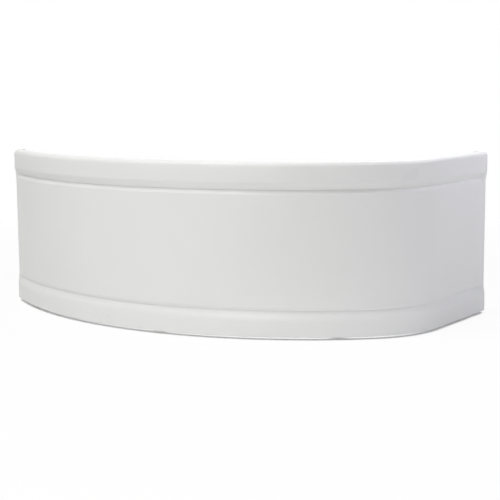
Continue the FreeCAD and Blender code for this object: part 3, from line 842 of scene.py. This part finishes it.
def threaded_stud(around=28):
    """A stud's rings (x, y, up), its upper end chamfered.

    The radius dips once a pitch, between flat crests and flat roots, and the dip climbs round to
    the right.
    """
    theta = np.linspace(0.0, 2.0 * np.pi, around, endpoint=False)
    up = np.arange(STUD_LOW, STUD_HIGH + 1e-6, PITCH / 6.0)
    phase = up[:, None] / PITCH - theta / (2.0 * np.pi)
    dip = np.clip(1.3 * np.abs(2.0 * (phase - np.floor(phase)) - 1.0) - 0.15, 0.0, 1.0)
    from_end = np.minimum(STUD_HIGH - up, STUD_CHAMFER)[:, None]
    radius = np.minimum(STUD_RADIUS - STUD_THREAD * dip, STUD_RADIUS - STUD_CHAMFER + from_end)
    return np.stack([
        radius * np.cos(theta), radius * np.sin(theta), np.broadcast_to(up[:, None], radius.shape),
    ], axis=-1)


def foot_pad(around=96):
    """A pad's rings (x, y, up) from the floor to the stud's socket.

    Its rim is fluted: the radius falls by the flutes' depth times 1 - |cos(half their number x
    angle)|, and the flutes fade in towards the rim.
    """
    outline = np.array([
        (0.05, 0.4), (14.0, 0.4), (15.0, 0.0), (21.0, 0.0), (22.2, 0.4), (22.5, 1.2), (22.5, 3.2),
        (22.0, 4.0), (21.0, 4.6), (17.0, 8.2), (13.2, 11.8), (12.3, 12.8), (11.8, 13.6),
        (10.7, 15.4), (10.2, 15.85), (9.6, 16.0), (5.6, 16.0), (4.95, 15.4), (4.95, 5.0),
        (0.05, 5.0),
    ])
    theta = np.linspace(0.0, 2.0 * np.pi, around, endpoint=False)
    on_rim = np.clip((outline[:, 0] - FLUTES_FROM) / FLUTES_FADE, 0.0, 1.0)[:, None]
    flutes = 1.0 - np.abs(np.cos(HALF_FLUTES * theta))
    radius = outline[:, :1] - FLUTE_DEPTH * on_rim * flutes
    up = np.broadcast_to(outline[:, 1:] - FLOOR_GAP, radius.shape)
    return np.stack([radius * np.cos(theta), radius * np.sin(theta), up], axis=-1)


nylon, tree, shader = new_finish("black_nylon", IOR=1.53)
drift, grain = uneven(tree, 60.0, 1600.0)
dress(
    tree, shader,
    colour=two_colours(tree, drift, (0.018, 0.018, 0.019, 1.0), (0.032, 0.032, 0.033, 1.0)),
    roughness=spread(tree, grain, 0.42, 0.62),
    height=grain, depth=0.00004,
)
nut = hexagon_nut(bore=4.95)
nut_heights = {
    "lower": FOOT_PLATE_LOW - WASHER - NUT_HEIGHT,
    "upper": FOOT_PLATE_LOW + FOOT_PLATE + WASHER,
}
for name, station in stations.items():
    for side, z in nut_heights.items():
        body = "foot_" + side + "_nut_" + name
        nut_grid = set_at(station, nut + (STUD_OUT, 0.0, z))[None]
        add_piece(
            side + "_nut_" + name, [shell(nut_grid, hollow=True)], zinc,
            body, [body], crease=25.0,
        )
    add_piece(
        "stud_" + name, [shell(set_at(station, threaded_stud() + (STUD_OUT, 0.0, 0.0))[None])],
        zinc, "foot_" + name, ["foot_stud_" + name], crease=50.0,
    )
    add_piece(
        "pad_" + name, [shell(set_at(station, foot_pad() + (STUD_OUT, 0.0, 0.0))[None])],
        nylon, "foot_" + name, ["foot_pad_" + name], crease=40.0,
    )

# Studio floor: a plain white sheet. The camera sees it mostly as even white, with the panel's soft
# shadow left in it and painted contact shade under the panel's foot, and so does gloss, up to where
# the studio's unlit front begins. It throws the lamps' light back up at the panel.
FLOOR_HALF = 9.0
# The way to the unlit front, where the photographer stands
FRONT = (0.59, -0.807, 0.0)
floor_mesh = bpy.data.meshes.new("studio_floor")
floor_corners = np.array([(-1.0, -1.0, 0.0), (1.0, -1.0, 0.0), (1.0, 1.0, 0.0), (-1.0, 1.0, 0.0)])
floor_mesh.from_pydata(floor_corners * FLOOR_HALF, [], [(0, 1, 2, 3)])
floor = bpy.data.objects.new("studio_floor", floor_mesh)
bpy.context.scene.collection.objects.link(floor)


def looks(tree):
    """1 for rays from the camera, and 1 for those that gloss or clear pieces send on, else 0."""
    path = add_node(tree, "ShaderNodeLightPath").outputs
    sent_on = both(tree, path["Is Glossy Ray"], path["Is Transmission Ray"], "MAXIMUM")
    return path["Is Camera Ray"], sent_on


def short_of_front(tree, place, near, far):
    """1 for a place or a way up to near on towards the studio's unlit front, and 0 from far on."""
    ahead = add_node(tree, "ShaderNodeVectorMath", {0: place, 1: FRONT}, operation="DOT_PRODUCT")
    return spread(tree, ahead.outputs["Value"], 1.0, 0.0, near, far)


sheet, tree, shader = new_finish(
    "white_sheet", Base_Color=(0.9, 0.9, 0.9, 1.0), Roughness=0.9, Specular_IOR_Level=0.0,
)
where_on = add_node(tree, "ShaderNodeTexCoord").outputs["Object"]
camera_ray, sent_on = looks(tree)
lit_part = short_of_front(tree, where_on, near=1.0, far=1.8)
glow = add_node(tree, "ShaderNodeEmission", {
    "Color": (1.0, 1.0, 1.0, 1.0), "Strength": both(tree, camera_ray, lit_part, "MAXIMUM"),
})
away = add_node(tree, "ShaderNodeVectorMath", {0: where_on}, operation="LENGTH").outputs["Value"]
# Painted contact shade: where ambient occlusion finds the panel close above, the white glow is
# withdrawn and the sheet's own shading shows, so an occlusion mask lays a dark line under the
# panel's foot on top of its real shadow.
open_above = add_node(
    tree, "ShaderNodeAmbientOcclusion", {"Distance": 0.05}, samples=16,
).outputs["AO"]
far_off = spread(tree, away, 0.92, 1.0, 1.0, 2.8)
outside_contact_shade = spread(tree, open_above, 0.15, 1.0, 0.2, 0.55)
lit = both(tree, far_off, outside_contact_shade, "MULTIPLY")
even = both(tree, both(tree, camera_ray, sent_on, "MAXIMUM"), lit, "MULTIPLY")
shown = add_node(tree, "ShaderNodeMixShader", {
    0: even, 1: shader.outputs["BSDF"], 2: glow.outputs["Emission"],
})
tree.links.new(shown.outputs["Shader"], tree.nodes["Material Output"].inputs["Surface"])
floor_mesh.materials.append(sheet)

# Studio light: large soft boxes high on the left, in front and above, a low one and a small near
# one at the right for the return, and one behind for the frame. The backdrop is white to the
# camera, and to gloss all round but at the studio's unlit front.
AMBIENT = 0.01
world = bpy.data.worlds.new("studio")
bpy.context.scene.world = world
world.use_nodes = True
tree = world.node_tree
backdrop = tree.nodes["Background"]
backdrop.inputs["Color"].default_value = (1.0, 1.0, 1.0, 1.0)
camera_ray, sent_on = looks(tree)
way = add_node(tree, "ShaderNodeTexCoord").outputs["Generated"]
mirrored = both(tree, sent_on, short_of_front(tree, way, near=-0.4, far=0.1), "MULTIPLY")
white = both(tree, camera_ray, mirrored, "MAXIMUM")
tree.links.new(spread(tree, white, AMBIENT, 1.0), backdrop.inputs["Strength"])
AIM = Vector((0.0, 0.0, 0.3))
COOL = (0.9, 0.9, 1.0)


def soft_box(name, azimuth, elevation, watts, colour=(1.0, 1.0, 1.0), side=2.0, away=4.2):
    """A square lamp turned to the panel's middle, its azimuth in degrees from front to right."""
    a, e = np.radians(azimuth), np.radians(elevation)
    back = Vector((np.sin(a) * np.cos(e), -np.cos(a) * np.cos(e), np.sin(e)))
    lamp = bpy.data.lights.new(name, "AREA")
    lamp.size, lamp.energy, lamp.color = side, watts, colour
    box = bpy.data.objects.new(name, lamp)
    box.location = AIM + back * away
    box.rotation_euler = (-back).to_track_quat("-Z", "Y").to_euler()
    bpy.context.scene.collection.objects.link(box)


soft_box("high_box", azimuth=-25.0, elevation=65.0, watts=92.0)
soft_box("front_box", azimuth=15.0, elevation=15.0, watts=49.0)
soft_box("upper_box", azimuth=15.0, elevation=65.0, watts=32.0)
soft_box("right_box", azimuth=100.0, elevation=12.0, watts=15.0, colour=COOL)
soft_box("return_box", azimuth=113.0, elevation=35.0, watts=9.6, colour=COOL, side=1.0, away=2.0)
soft_box("back_box", azimuth=195.0, elevation=50.0, watts=40.0)

# Camera: where the photograph was taken from, about 36 degrees round to the right of the front
# and some way above the panel's top edge.
FROM_RIGHT, FROM_ABOVE, LEANING = np.radians((36.221, 8.4237, 0.3818))
camera = bpy.data.cameras.new("photograph")
camera.lens = 85.515
camera.sensor_width = 36.0
viewpoint = bpy.data.objects.new("photograph", camera)
turned = Matrix.Rotation(FROM_RIGHT, 3, "Z")
tipped = Matrix.Rotation(np.pi / 2.0 - FROM_ABOVE, 3, "X")
leaned = Matrix.Rotation(-LEANING, 3, "Z")
viewpoint.location = (2.419055, -3.183023, 0.797702)
viewpoint.rotation_euler = (turned @ tipped @ leaned).to_euler()
bpy.context.scene.collection.objects.link(viewpoint)
bpy.context.scene.camera = viewpoint
bpy.context.scene.view_settings.view_transform = "Standard"
